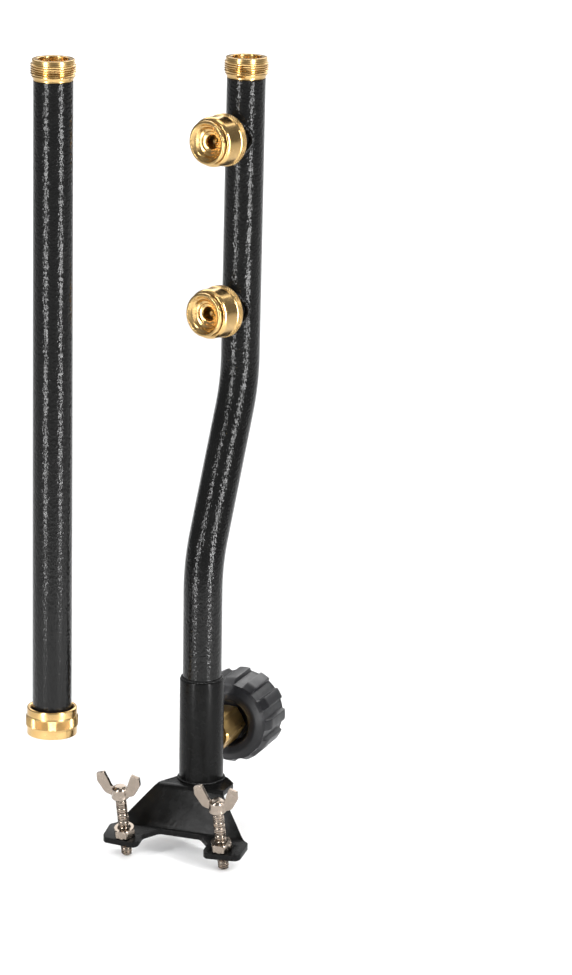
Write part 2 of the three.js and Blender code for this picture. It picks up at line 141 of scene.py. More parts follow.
@dataclass(frozen=True)
class Finish:
    """A procedural finish on Object coordinates, with fine grain in its bump and roughness."""

    name: str
    slot: Slot
    color: tuple[float, float, float]
    shade: tuple[float, float, float]
    metallic: float
    roughness: float
    roughness_spread: float
    grain_mm: float
    grain_depth_mm: float
    tint_mm: float = 9.0
    specular: float = 0.5
    coat: float = 0.0
    coat_roughness: float = 0.1

    def start(self) -> tuple[bpy.types.Material, Tree, bpy.types.Node, bpy.types.NodeSocket]:
        """Makes the material with its constant values.

        Returns:
            The material, its tree, its shader node and the Object coordinates.
        """
        material = bpy.data.materials.new(self.name)
        material.use_nodes = True
        tree = Tree(material.node_tree)
        shader = material.node_tree.nodes["Principled BSDF"]
        shader.inputs["Metallic"].default_value = self.metallic
        shader.inputs["Specular IOR Level"].default_value = self.specular
        shader.inputs["Coat Weight"].default_value = self.coat
        shader.inputs["Coat Roughness"].default_value = self.coat_roughness
        place = tree.add("ShaderNodeTexCoord").outputs["Object"]
        return material, tree, shader, place

    def tinted(self, tree: Tree, shader: bpy.types.Node, place: bpy.types.NodeSocket) -> None:
        """Varies the colour and the roughness softly over the surface.

        Args:
            tree: the material's tree.
            shader: its shader node.
            place: the coordinates to read.
        """
        cloud = tree.add("ShaderNodeTexNoise", {
            "Vector": place, "Scale": 1 / (self.tint_mm * MM), "Detail": 3.0, "Roughness": 0.6,
        })
        mix = tree.add("ShaderNodeMix", {
            "Factor": cloud.outputs[0], 6: (*self.shade, 1), 7: (*self.color, 1),
        }, data_type="RGBA")
        tree.tree.links.new(mix.outputs[2], shader.inputs["Base Color"])
        rough = tree.add("ShaderNodeMapRange", {
            "Value": cloud.outputs[0], "From Min": 0.3, "From Max": 0.7,
            "To Min": self.roughness - self.roughness_spread,
            "To Max": self.roughness + self.roughness_spread,
        })
        tree.tree.links.new(rough.outputs[0], shader.inputs["Roughness"])

    def grain(self, tree: Tree, place: bpy.types.NodeSocket) -> bpy.types.NodeSocket:
        """The height of the surface's grain, from 0 to 1: here a fine noise."""
        return tree.add("ShaderNodeTexNoise", {
            "Vector": place, "Scale": 1 / (self.grain_mm * MM), "Detail": 2.0,
        }).outputs[0]

    def build(self) -> bpy.types.Material:
        """Makes the material.

        Returns:
            The finished material.
        """
        material, tree, shader, place = self.start()
        self.tinted(tree, shader, place)
        bump = tree.add("ShaderNodeBump", {
            "Height": self.grain(tree, place), "Strength": 1.0,
            "Distance": self.grain_depth_mm * MM,
        })
        tree.tree.links.new(bump.outputs[0], shader.inputs["Normal"])
        return material


@dataclass(frozen=True)
class PebbledPaint(Finish):
    """Powder coat that dried to small round pebbles with creases between them."""

    def grain(self, tree: Tree, place: bpy.types.NodeSocket) -> bpy.types.NodeSocket:
        """Pebbles of two sizes, wandering a little."""
        wander = tree.add("ShaderNodeTexNoise", {
            "Vector": place, "Scale": 0.6 / (self.grain_mm * MM), "Detail": 1.0,
        })
        pushed = tree.add("ShaderNodeVectorMath", {
            0: wander.outputs["Color"], 3: self.grain_mm * MM * 0.9,
        }, operation="SCALE")
        moved = tree.add("ShaderNodeVectorMath", {0: place, 1: pushed.outputs[0]}).outputs[0]
        pebbles = tree.add("ShaderNodeTexVoronoi", {
            "Vector": moved, "Scale": 1 / (self.grain_mm * MM), "Smoothness": 0.6,
        }, feature="SMOOTH_F1")
        fine = tree.add("ShaderNodeTexNoise", {
            "Vector": place, "Scale": 2.4 / (self.grain_mm * MM), "Detail": 1.0,
        })
        low = tree.math("MULTIPLY", pebbles.outputs["Distance"], -1.0)
        return tree.math("ADD", low, tree.math("MULTIPLY", fine.outputs[0], 0.35))


@dataclass(frozen=True)
class TurnedMetal(Finish):
    """Metal with the fine rings that a lathe leaves, along the second UV coordinate."""

    ring_mm: float = 0.16

    def grain(self, tree: Tree, place: bpy.types.NodeSocket) -> bpy.types.NodeSocket:
        """Rings of uneven depth with a little noise."""
        along = tree.add("ShaderNodeSeparateXYZ", {
            0: tree.add("ShaderNodeTexCoord").outputs["UV"],
        }).outputs[1]
        rings = tree.add("ShaderNodeTexNoise", {
            "W": tree.math("MULTIPLY", along, 1 / (self.ring_mm * MM)), "Scale": 1.0,
            "Detail": 2.0,
        }, noise_dimensions="1D")
        fine = tree.add("ShaderNodeTexNoise", {
            "Vector": place, "Scale": 1 / (self.grain_mm * MM), "Detail": 1.0,
        })
        return tree.math("ADD", rings.outputs[0], tree.math("MULTIPLY", fine.outputs[0], 0.4))


PAINT = PebbledPaint(
    "pebbled_black_paint", Slot.PAINT, (0.007, 0.007, 0.0068), (0.004, 0.004, 0.004),
    metallic=0.0, roughness=0.17, roughness_spread=0.04, grain_mm=1.7, grain_depth_mm=0.2,
    specular=0.22, coat=0.0,
)
PLATE_PAINT = PebbledPaint(
    "plate_black_paint", Slot.PAINT, (0.006, 0.006, 0.0058), (0.0035, 0.0035, 0.0035),
    metallic=0.0, roughness=0.26, roughness_spread=0.05, grain_mm=2.2, grain_depth_mm=0.05,
    specular=0.09, coat=0.0,
)
BRASS = TurnedMetal(
    "turned_brass", Slot.BRASS, (0.66, 0.45, 0.19), (0.54, 0.34, 0.13),
    metallic=1.0, roughness=0.24, roughness_spread=0.05, grain_mm=0.5, grain_depth_mm=0.006,
)
NIPPLE_BRASS = Finish(
    "milled_brass", Slot.BRASS, (0.62, 0.42, 0.16), (0.45, 0.28, 0.1),
    metallic=1.0, roughness=0.33, roughness_spread=0.07, grain_mm=0.4, grain_depth_mm=0.01,
)
ZINC = Finish(
    "bright_zinc", Slot.ZINC, (0.36, 0.305, 0.255), (0.23, 0.19, 0.155),
    metallic=1.0, roughness=0.24, roughness_spread=0.07, grain_mm=0.8, grain_depth_mm=0.02,
    tint_mm=4.0,
)
PLASTIC = Finish(
    "moulded_plastic", Slot.PLASTIC, (0.009, 0.009, 0.0105), (0.005, 0.005, 0.006),
    metallic=0.0, roughness=0.38, roughness_spread=0.07, grain_mm=0.5, grain_depth_mm=0.03,
    specular=0.3,
)
RUBBER = Finish(
    "black_rubber", Slot.RUBBER, (0.02, 0.02, 0.02), (0.012, 0.012, 0.012),
    metallic=0.0, roughness=0.7, roughness_spread=0.08, grain_mm=0.3, grain_depth_mm=0.02,
)
SPRING = Finish(
    "spring_wire", Slot.SPRING, (0.5, 0.5, 0.5), (0.36, 0.36, 0.37),
    metallic=1.0, roughness=0.3, roughness_spread=0.06, grain_mm=0.3, grain_depth_mm=0.01,
)


class Finishes:
    """The finishes' materials, each made once."""

    def __init__(self) -> None:
        """Starts with no material made."""
        self.made: dict[str, bpy.types.Material] = {}

    def of(self, finish: Finish) -> bpy.types.Material:
        """The material of a finish."""
        if finish.name not in self.made:
            self.made[finish.name] = finish.build()
        return self.made[finish.name]


FINISHES = Finishes()


# ---- places, from the frame -------------------------------------------------------------------


@dataclass(frozen=True)
class Axle:
    """A round node's axis: the middle of its low end, its direction, length and radius."""

    start: Vector
    direction: Vector
    length: float
    radius: float

    @property
    def matrix(self) -> Matrix:
        """From a space with +Z along the axis and its origin at the low end to the row frame."""
        turn = UP.rotation_difference(self.direction).to_matrix().to_4x4()
        return Matrix.Translation(self.start) @ turn

    def shifted(self, millimetres: float) -> Matrix:
        """The matrix with its origin moved along the axis."""
        return self.matrix @ Matrix.Translation((0, 0, millimetres * MM))


def axle(node: str, direction: Vector) -> Axle:
    """Measures a round node along a direction.

    Args:
        node: the CAD node's name.
        direction: the way that its axis points.

    Returns:
        Its axis in the row frame.
    """
    along = direction.normalized()
    points = [vertex.co.copy() for vertex in frame["nodes"][node].data.vertices]
    heights = [point.dot(along) for point in points]
    flat = [point - along * height for point, height in zip(points, heights)]
    side = along.orthogonal().normalized()
    other = along.cross(side)
    middle = Vector((0, 0, 0))
    for line in (side, other):
        reach = [point.dot(line) for point in flat]
        middle += line * (min(reach) + max(reach)) / 2
    radius = max((point - middle).length for point in flat)
    low, high = min(heights), max(heights)
    return Axle(middle + along * low, along, high - low, radius)


def joint_direction(name: str) -> Vector:
    """The axis of a joint in the record."""
    found = next(joint for joint in frame["joints"] if joint["name"] == name)
    return Vector(found["axis"])


# ---- meshes ----------------------------------------------------------------------------------


def mesh_object(name: str, mesh: bpy.types.Mesh) -> bpy.types.Object:
    """Puts a mesh in the scene under a name."""
    thing = bpy.data.objects.new(name, mesh)
    bpy.context.scene.collection.objects.link(thing)
    return thing


def rounded(outline: Outline, steps: int = 4) -> list[tuple[float, float]]:
    """Rounds the corners of a closed outline.

    Args:
        outline: (radius, height) or (radius, height, fillet) points, in millimetres.
        steps: points along each fillet, less one.

    Returns:
        The outline's points with each fillet drawn as a short curve.
    """
    result: list[tuple[float, float]] = []
    count = len(outline)
    for index, corner in enumerate(outline):
        here = Vector(corner[:2])
        fillet = corner[2] if len(corner) > 2 else 0.0
        if fillet <= 0:
            result.append((here.x, here.y))
            continue
        before = Vector(outline[index - 1][:2]) - here
        after = Vector(outline[(index + 1) % count][:2]) - here
        reach = min(fillet, before.length * 0.48, after.length * 0.48)
        start = here + before.normalized() * reach
        end = here + after.normalized() * reach
        for step in range(steps + 1):
            t = step / steps
            point = start * (1 - t) ** 2 + here * 2 * t * (1 - t) + end * t ** 2
            result.append((point.x, point.y))
    return result


def revolve(
    name: str, outline: Outline, sides: int = 96, bulge: Bulge | None = None,
) -> bpy.types.Object:
    """Turns a half section round Z.

    Args:
        name: the new object's name.
        outline: the section's points in millimetres, anticlockwise, closed or from pole to pole.
        sides: steps round the axis.
        bulge: gives a radius in millimetres from an angle, a radius and a height.

    Returns:
        An object with a closed mesh, whose UV runs round and along the section.
    """
    points = rounded(outline)
    poles = points[0][0] == 0 and points[-1][0] == 0
    count = len(points)
    lengths = [0.0]
    for index in range(count):
        step = Vector(points[(index + 1) % count]) - Vector(points[index])
        lengths.append(lengths[-1] + step.length)
    vertices: list[tuple[float, float, float]] = []
    rings: list[list[int]] = []
    for radius, height in points:
        first = len(vertices)
        if radius == 0:
            vertices.append((0.0, 0.0, height * MM))
            rings.append([first] * sides)
            continue
        for side in range(sides):
            angle = TAU * side / sides
            reach = bulge(angle, radius, height) if bulge else radius
            vertices.append((reach * math.cos(angle) * MM, reach * math.sin(angle) * MM, height * MM))
        rings.append(list(range(first, first + sides)))
    faces: list[list[int]] = []
    corners: list[tuple[float, float]] = []
    for index in range(count - 1 if poles else count):
        low, high = rings[index], rings[(index + 1) % count]
        for side in range(sides):
            beyond = (side + 1) % sides
            loop = [
                (low[side], side, index), (low[beyond], side + 1, index),
                (high[beyond], side + 1, index + 1), (high[side], side, index + 1),
            ]
            kept = [item for place, item in enumerate(loop) if item[0] != loop[place - 1][0]]
            if len(kept) < 3:
                continue
            faces.append([item[0] for item in kept])
            corners += [(item[1] / sides, lengths[item[2]] * MM) for item in kept]
    mesh = bpy.data.meshes.new(name)
    mesh.from_pydata(vertices, [], faces)
    layer = mesh.uv_layers.new(name="UVMap")
    for loop_index, corner in enumerate(corners):
        layer.data[loop_index].uv = corner
    return mesh_object(name, mesh)


def joined(name: str, parts: Sequence[bpy.types.Object]) -> bpy.types.Object:
    """Joins objects into one.

    Args:
        name: the result's name.
        parts: the objects, whose first takes the others in.

    Returns:
        The first object with all the meshes.
    """
    with bpy.context.temp_override(active_object=parts[0], selected_editable_objects=list(parts)):
        bpy.ops.object.join()
    parts[0].name = name
    parts[0].data.name = name
    return parts[0]


def bake_modifiers(thing: bpy.types.Object) -> None:
    """Makes an object's evaluated shape its plain mesh and removes its modifiers."""
    graph = bpy.context.evaluated_depsgraph_get()
    made = bpy.data.meshes.new_from_object(thing.evaluated_get(graph), depsgraph=graph)
    thing.modifiers.clear()
    thing.data = made


def turned_nodes(source: bpy.types.Object, tree: bpy.types.NodeTree, inputs: dict[str, object]) -> None:
    """Runs a Geometry Nodes tree on an object and keeps the result as its plain mesh.

    Args:
        source: the object, whose mesh is the tree's geometry.
        tree: the tree.
        inputs: the value of each named input.
    """
    modifier = source.modifiers.new("maker", "NODES")
    modifier.node_group = tree
    for item in tree.interface.items_tree:
        if item.item_type == "SOCKET" and item.in_out == "INPUT" and item.name in inputs:
            modifier[item.identifier] = inputs[item.name]
    bake_modifiers(source)


def bevelled(thing: bpy.types.Object, width_mm: float, segments: int = 2) -> None:
    """Rounds an object's sharp edges with a Bevel modifier, and applies it."""
    modifier = thing.modifiers.new("round", "BEVEL")
    modifier.width = width_mm * MM
    modifier.segments = segments
    modifier.limit_method = "ANGLE"
    modifier.angle_limit = math.radians(28)
    bake_modifiers(thing)


def settle(
    thing: bpy.types.Object, finish: Finish, body: str, stands_for: Sequence[str],
    place: Matrix | None = None,
) -> bpy.types.Object:
    """Puts a piece in its place, dresses it and hands it to the frame.

    Args:
        thing: the piece, in its own space.
        finish: its finish.
        body: the CAD body that it rides on.
        stands_for: the CAD nodes that it replaces.
        place: from its own space to the row frame.

    Returns:
        The piece.
    """
    if place is not None:
        thing.data.transform(place)
    thing.data.name = thing.name
    thing.data.materials.clear()
    thing.data.materials.append(FINISHES.of(finish))
    for face in thing.data.polygons:
        face.use_smooth = True
        face.material_index = 0
    thing.data.set_sharp_from_angle(angle=SHARP_ANGLE)
    thing.data.update()
    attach(thing, body)
    if stands_for:
        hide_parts(*stands_for)
    LOG.info("%s: %d faces on %s", thing.name, len(thing.data.polygons), body)
    return thing


def dress_node(node: str, finish: Finish) -> None:
    """Gives a CAD node that stays a finish of its own."""
    thing = frame["nodes"][node]
    for slot_index in range(max(1, len(thing.material_slots))):
        if not thing.material_slots:
            thing.data.materials.append(FINISHES.of(finish))
        thing.material_slots[slot_index].material = FINISHES.of(finish)
    LOG.info("%s: kept from the frame", node)


# ---- geometry node trees -----------------------------------------------------------------------


def new_tree(name: str, inputs: dict[str, tuple[str, object]]) -> tuple[Tree, bpy.types.Node]:
    """Starts a Geometry Nodes tree with a geometry input and named inputs.

    Args:
        name: the tree's name.
        inputs: each input's name to its socket type and default value.

    Returns:
        The tree and its input node.
    """
    group = bpy.data.node_groups.new(name, "GeometryNodeTree")
    group.interface.new_socket("Geometry", in_out="INPUT", socket_type="NodeSocketGeometry")
    for label, (kind, value) in inputs.items():
        socket = group.interface.new_socket(label, in_out="INPUT", socket_type=kind)
        if value is not None:
            socket.default_value = value
    group.interface.new_socket("Geometry", in_out="OUTPUT", socket_type="NodeSocketGeometry")
    tree = Tree(group)
    return tree, tree.add("NodeGroupInput")


def end_tree(tree: Tree, start: bpy.types.Node, shape: bpy.types.NodeSocket) -> bpy.types.NodeTree:
    """Ends a tree in Realize Instances and Set Material.

    Args:
        tree: the tree.
        start: its input node, with a Finish input.
        shape: the geometry made so far.

    Returns:
        The finished node tree.
    """
    real = tree.add("GeometryNodeRealizeInstances", {0: shape})
    dressed = tree.add("GeometryNodeSetMaterial", {
        "Geometry": real.outputs[0], "Material": start.outputs["Finish"],
    })
    tree.add("NodeGroupOutput", {0: dressed.outputs[0]})
    return tree.tree


def thread_tree() -> bpy.types.NodeTree:
    """A screw thread's ridge: a three-sided section that climbs round Z.

    Returns:
        The tree, whose inputs are in metres.
    """
    tree, start = new_tree("screw_thread", {
        "Radius": ("NodeSocketFloat", 0.01), "Pitch": ("NodeSocketFloat", 0.00127),
        "Depth": ("NodeSocketFloat", 0.0008), "Turns": ("NodeSocketFloat", 5.0),
        "Low": ("NodeSocketFloat", 0.0), "Finish": ("NodeSocketMaterial", None),
    })
    given = start.outputs
    root = tree.math("SUBTRACT", given["Radius"], tree.math("MULTIPLY", given["Depth"], 0.62))
    height = tree.math("MULTIPLY", given["Pitch"], given["Turns"])
    helix = tree.add("GeometryNodeCurveSpiral", {
        "Resolution": 64, "Rotations": given["Turns"], "Start Radius": root,
        "End Radius": root, "Height": height,
    })
    section = tree.add("GeometryNodeCurvePrimitiveCircle", {
        "Resolution": 4, "Radius": tree.math("MULTIPLY", given["Depth"], 0.62),
    })
    sweep = tree.add("GeometryNodeCurveToMesh", {
        "Curve": helix.outputs[0], "Profile Curve": section.outputs[0], "Fill Caps": True,
    })
    lift = tree.add("ShaderNodeCombineXYZ", {2: given["Low"]})
    moved = tree.add("GeometryNodeTransform", {
        "Geometry": sweep.outputs[0], "Translation": lift.outputs[0],
    })
    both = tree.add("GeometryNodeJoinGeometry", {0: moved.outputs[0]})
    tree.tree.links.new(given["Geometry"], both.inputs[0])
    return end_tree(tree, start, both.outputs[0])


def knurl_tree() -> bpy.types.NodeTree:
    """Diamond knurling: staggered four-sided points over a band round Z.

    Returns:
        The tree, whose lengths are in metres.
    """
    tree, start = new_tree("diamond_knurl", {
        "Radius": ("NodeSocketFloat", 0.015), "Low": ("NodeSocketFloat", 0.0),
        "Band": ("NodeSocketFloat", 0.005), "Columns": ("NodeSocketInt", 80),
        "Rows": ("NodeSocketInt", 5), "Depth": ("NodeSocketFloat", 0.0005),
        "Finish": ("NodeSocketMaterial", None),
    })
    given = start.outputs
    total = tree.math("MULTIPLY", given["Columns"], given["Rows"])
    dots = tree.add("GeometryNodePoints", {"Count": total, "Radius": 0.001})
    number = tree.add("GeometryNodeInputIndex").outputs[0]
    row = tree.math("FLOOR", tree.math("DIVIDE", number, given["Columns"]))
    column = tree.math("FLOORED_MODULO", number, given["Columns"])
    stagger = tree.math("MULTIPLY", tree.math("FLOORED_MODULO", row, 2.0), 0.5)
    turn = tree.math("DIVIDE", tree.math("ADD", column, stagger), given["Columns"])
    angle = tree.math("MULTIPLY", turn, TAU)
    across = tree.math("COSINE", angle)
    beyond = tree.math("SINE", angle)
    spacing = tree.math("DIVIDE", given["Band"], tree.math("ADD", given["Rows"], 1.0))
    height = tree.math("ADD", given["Low"], tree.math("MULTIPLY", spacing, tree.math("ADD", row, 1.0)))
    place = tree.add("ShaderNodeCombineXYZ", {
        0: tree.math("MULTIPLY", given["Radius"], across),
        1: tree.math("MULTIPLY", given["Radius"], beyond), 2: height,
    })
    outward = tree.add("ShaderNodeCombineXYZ", {0: across, 1: beyond, 2: 0.0})
    set_out = tree.add("GeometryNodeSetPosition", {0: dots.outputs[0], "Position": place.outputs[0]})
    half_width = tree.math("DIVIDE", tree.math("MULTIPLY", given["Radius"], math.pi), given["Columns"])
    point = tree.add("GeometryNodeMeshCone", {
        "Vertices": 4, "Radius Top": 0.0, "Radius Bottom": half_width,
        "Depth": given["Depth"],
    })
    facing = tree.add("FunctionNodeAlignRotationToVector", {"Vector": outward.outputs[0]}, axis="Z")
    upright = tree.add("FunctionNodeAlignRotationToVector", {
        "Rotation": facing.outputs[0], "Vector": (0, 0, 1),
    }, axis="X", pivot_axis="Z")
    tall = tree.math("DIVIDE", spacing, half_width)
    size = tree.add("ShaderNodeCombineXYZ", {0: tall, 1: 1.0, 2: 1.0})
    copies = tree.add("GeometryNodeInstanceOnPoints", {
        "Points": set_out.outputs[0], "Instance": point.outputs[0],
        "Rotation": upright.outputs[0], "Scale": size.outputs[0],
    })
    both = tree.add("GeometryNodeJoinGeometry", {0: copies.outputs[0]})
    tree.tree.links.new(given["Geometry"], both.inputs[0])
    return end_tree(tree, start, both.outputs[0])


def bead_tree() -> bpy.types.NodeTree:
    """A weld bead: overlapping drops on the points of a path.

    Returns:
        The tree, whose Size is in metres.
    """
    tree, start = new_tree("weld_bead", {
        "Size": ("NodeSocketFloat", 0.002), "Seed": ("NodeSocketInt", 3),
        "Finish": ("NodeSocketMaterial", None),
    })
    given = start.outputs
    drop = tree.add("GeometryNodeMeshIcoSphere", {"Radius": given["Size"], "Subdivisions": 3})
    spread = tree.add("FunctionNodeRandomValue", {
        2: 0.86, 3: 1.14, "Seed": given["Seed"],
    }, data_type="FLOAT")
    drops = tree.add("GeometryNodeInstanceOnPoints", {
        "Points": tree.add("GeometryNodeMeshToPoints", {"Mesh": given["Geometry"]}).outputs[0],
        "Instance": drop.outputs[0], "Scale": spread.outputs[1],
    })
    return end_tree(tree, start, drops.outputs[0])


def sweep_tree() -> bpy.types.NodeTree:
    """A round bar along a path of edges.

    Returns:
        The tree, whose Radius is in metres.
    """
    tree, start = new_tree("round_sweep", {
        "Radius": ("NodeSocketFloat", 0.01), "Sides": ("NodeSocketInt", 96),
        "Finish": ("NodeSocketMaterial", None),
    })
    given = start.outputs
    path = tree.add("GeometryNodeMeshToCurve", {0: given["Geometry"]})
    section = tree.add("GeometryNodeCurvePrimitiveCircle", {
        "Resolution": given["Sides"], "Radius": given["Radius"],
    })
    sweep = tree.add("GeometryNodeCurveToMesh", {
        "Curve": path.outputs[0], "Profile Curve": section.outputs[0],
    })
    return end_tree(tree, start, sweep.outputs[0])


class Trees:
    """The Geometry Nodes trees, made once."""

    def __init__(self) -> None:
        """Builds all the trees."""
        self.thread = thread_tree()
        self.knurl = knurl_tree()
        self.bead = bead_tree()
        self.sweep = sweep_tree()


TREES = Trees()


def add_thread(
    thing: bpy.types.Object, finish: Finish, radius: float, low: float, high: float,
    pitch: float = 1.27, depth: float = 0.8,
) -> None:
    """Adds a screw thread round Z to a piece that hasn't been placed yet.

    Args:
        thing: the piece.
        finish: the finish of the thread.
        radius: over the crests, in millimetres.
        low: where the thread starts.
        high: where it ends.
        pitch: of the thread.
        depth: of the thread.
    """
    turned_nodes(thing, TREES.thread, {
        "Radius": radius * MM, "Low": low * MM, "Pitch": pitch * MM, "Depth": depth * MM,
        "Turns": (high - low) / pitch, "Finish": FINISHES.of(finish),
    })


def hexagonal(flats: float) -> Bulge:
    """Keeps a turned shape inside a hexagon, so that its high corners are cut by its chamfers."""
    def reach(angle: float, radius: float, _height: float) -> float:
        sector = (angle % (TAU / 6)) - TAU / 12
        return min(radius, flats / 2 / math.cos(sector))
    return reach


def edge_path(name: str, points: Sequence[Vector], closed: bool = False) -> bpy.types.Object:
    """Joins points with edges.

    Args:
        name: the new object's name.
        points: the path's points, in metres.
        closed: whether an edge joins the last point to the first.

    Returns:
        An object whose mesh is the path.
    """
    mesh = bpy.data.meshes.new(name)
    count = len(points)
    edges = [(index, (index + 1) % count) for index in range(count if closed else count - 1)]
    mesh.from_pydata([tuple(point) for point in points], edges, [])
    return mesh_object(name, mesh)


def ring_of(radius_mm: float, height_mm: float, count: int) -> list[Vector]:
    """Evenly spaced points in metres on a level circle round Z."""
    angles = [TAU * index / count for index in range(count)]
    return [Vector((radius_mm * math.cos(a), radius_mm * math.sin(a), height_mm)) * MM for a in angles]


def cast_smooth(thing: bpy.types.Object, voxel_mm: float, passes: int) -> None:
    """Fuses overlapping shells into one skin by voxel remesh and softens it.

    Args:
        thing: the object, whose mesh may be several closed shells.
        voxel_mm: the remesh's cell.
        passes: rounds of smoothing.
    """
    remesh = thing.modifiers.new("fuse", "REMESH")
    remesh.mode = "VOXEL"
    remesh.voxel_size = voxel_mm * MM
    smooth = thing.modifiers.new("soften", "SMOOTH")
    smooth.factor = 0.5
    smooth.iterations = passes
    bake_modifiers(thing)


def extruded(
    name: str, points: Sequence[tuple[float, float]], low: float, high: float,
) -> bpy.types.Object:
    """A prism along Z.

    Args:
        name: the object's name.
        points: its outline, anticlockwise, in millimetres.
        low: its lower face's height.
        high: its upper face's height.

    Returns:
        The prism.
    """
    count = len(points)
    vertices = [(x * MM, y * MM, height * MM) for height in (low, high) for x, y in points]
    faces = [tuple(reversed(range(count))), tuple(range(count, 2 * count))]
    faces += [(i, (i + 1) % count, (i + 1) % count + count, i + count) for i in range(count)]
    mesh = bpy.data.meshes.new(name)
    mesh.from_pydata(vertices, [], faces)
    return mesh_object(name, mesh)


def combined(base: bpy.types.Object, other: bpy.types.Object, operation: str) -> None:
    """Joins, cuts or intersects a solid with another, which is removed.

    Args:
        base: the solid that is changed.
        other: the tool.
        operation: UNION, DIFFERENCE or INTERSECT.
    """
    modifier = base.modifiers.new("boolean", "BOOLEAN")
    modifier.operation = operation
    modifier.solver = "EXACT"
    modifier.object = other
    bake_modifiers(base)
    bpy.data.objects.remove(other)


def weld_bead(
    name: str, body: str, points: Sequence[Vector], size_mm: float, place: Matrix, seed: int,
) -> None:
    """Lays a painted weld bead along a closed row of points and lets it stand for its CAD node.

    Args:
        name: the CAD node's name.
        body: the CAD body that it rides on.
        points: the bead's path, in metres in its own space.
        size_mm: the radius of one drop.
        place: from its own space to the row frame.
        seed: for the drops' uneven sizes.
    """
    bead = edge_path(f"{name}_drops", points, closed=True)
    turned_nodes(bead, TREES.bead, {"Size": size_mm * MM, "Seed": seed, "Finish": FINISHES.of(PAINT)})
    cast_smooth(bead, 0.28, 2)
    settle(bead, PAINT, body, [name], place)


# ---- the assemblies ------------------------------------------------------------------------------


@dataclass
class Post:
    """The bent tube in its sleeve, with the welds that hold them. Millimetres."""

    wall: float = 1.6
    lower_kink: float = 128.0
    upper_kink: float = 222.0
    slant: float = math.radians(29.5)
    lean: float = math.radians(1.5)
    bend: float = 62.0
    bend_steps: int = 28

    def __post_init__(self) -> None:
        """Measures the tube and the sleeve in the frame."""
        sleeve_low, sleeve_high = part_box("base_sleeve")
        self.sleeve_radius = (sleeve_high.x - sleeve_low.x) / 2 / MM
        middle = (sleeve_low + sleeve_high) / 2
        self.axis = Vector((middle.x, middle.y, 0))
        self.flange = sleeve_low.z - 0.3 * MM
        self.sleeve_height = (sleeve_high.z - self.flange) / MM
        tube_low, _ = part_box("post_tube")
        self.radius = (self.axis.y - tube_low.y) / MM
        self.tube_start = (tube_low.z - self.flange) / MM
        self.place = Matrix.Translation((self.axis.x, self.axis.y, self.flange))

    def path(self) -> list[Vector]:
        """The tube's centreline above the flange.

        Returns:
            Points in metres, close together round the bends.
        """
        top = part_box("top_outlet")[0].z - self.flange + 10 * MM
        upper_turn = self.slant - self.lean
        spot, heading = Vector((0, self.tube_start)), 0.0
        points = [spot.copy()]
        lower_tangent = self.bend * math.tan(self.slant / 2)
        upper_tangent = self.bend * math.tan(upper_turn / 2)
        middle = (self.upper_kink - self.lower_kink) / math.cos(self.slant)
        upper = (top / MM - self.upper_kink) / math.cos(self.lean)
        runs = [
            (self.lower_kink - self.tube_start - lower_tangent, self.slant),
            (middle - lower_tangent - upper_tangent, -upper_turn),
            (upper - upper_tangent, 0.0),
        ]
        for length, turn in runs:
            spot = spot + Vector((math.sin(heading), math.cos(heading))) * length
            points.append(spot.copy())
            if turn == 0.0:
                continue
            radius = math.copysign(self.bend, turn)
            for step in range(1, self.bend_steps + 1):
                now = heading + turn * step / self.bend_steps
                points.append(spot + Vector((
                    radius * (math.cos(heading) - math.cos(now)),
                    radius * (math.sin(now) - math.sin(heading)),
                )))
            heading += turn
            spot = points[-1].copy()
        return [Vector((0, point.x, point.y)) * MM for point in points]

    def build_tube(self) -> None:
        """Sweeps the tube along its centreline and gives it its wall."""
        tube = edge_path("post_tube_swept", self.path())
        turned_nodes(tube, TREES.sweep, {
            "Radius": self.radius * MM, "Sides": 96, "Finish": FINISHES.of(PAINT),
        })
        wall = tube.modifiers.new("wall", "SOLIDIFY")
        wall.thickness = self.wall * MM
        wall.offset = -1
        bake_modifiers(tube)
        settle(tube, PAINT, "root", ["post_tube"], self.place)

    def build_sleeve(self) -> None:
        """Turns the sleeve and lays the beads at its top and foot."""
        r, h = self.sleeve_radius, self.sleeve_height
        sleeve = revolve("sleeve_turned", [
            (self.radius + 0.3, 0.3), (r, 0.3, 0.2), (r, h, 0.9), (self.radius + 0.3, h, 0.2),
        ])
        settle(sleeve, PLATE_PAINT, "root", ["base_sleeve"], self.place)
        weld_bead("sleeve_top_weld", "root", ring_of(11.5, h + 0.4, 48), 0.8, self.place, 5)
        weld_bead("sleeve_base_weld", "root", ring_of(13.0, 0.5, 56), 0.85, self.place, 8)

    def build(self) -> None:
        """Makes the tube and the sleeve."""
        self.build_tube()
        self.build_sleeve()


@dataclass
class ThreadedOutlet:
    """A male-threaded outlet in a tube's upper end. Heights are above the tube's rim."""

    prefix: str
    body: str
    spigot: float = 10.0
    crest: float = 12.7
    root: float = 11.95
    thread_low: float = 3.7
    thread_high: float = 9.9
    rim: float = 12.2

    def build(self, direction: Vector) -> None:
        """Turns the outlet, cuts its thread and dresses it.

        Args:
            direction: the way that the outlet points.
        """
        node = f"{self.prefix}_outlet"
        place = axle(node, direction).shifted(self.spigot)
        outlet = revolve(f"{node}_turned", [
            (5.5, -self.spigot), (9.2, -self.spigot, 0.3), (9.2, 0.3), (11.1, 0.3, 0.25),
            (11.1, 1.1, 0.3), (self.root + 0.3, 2.9, 0.3), (self.root, 3.3), (self.root, 10.2),
            (11.8, 10.4, 0.2), (11.8, self.rim, 0.5), (8.65, self.rim, 0.6), (8.65, 4.6, 0.3),
            (4.1, 4.6, 0.3), (4.1, 3), (3.2, 3, 0.2), (3.2, 1), (5.5, 1),
        ], 128)
        add_thread(outlet, BRASS, self.crest, self.thread_low, self.thread_high)
        settle(outlet, BRASS, self.body, [node], place)


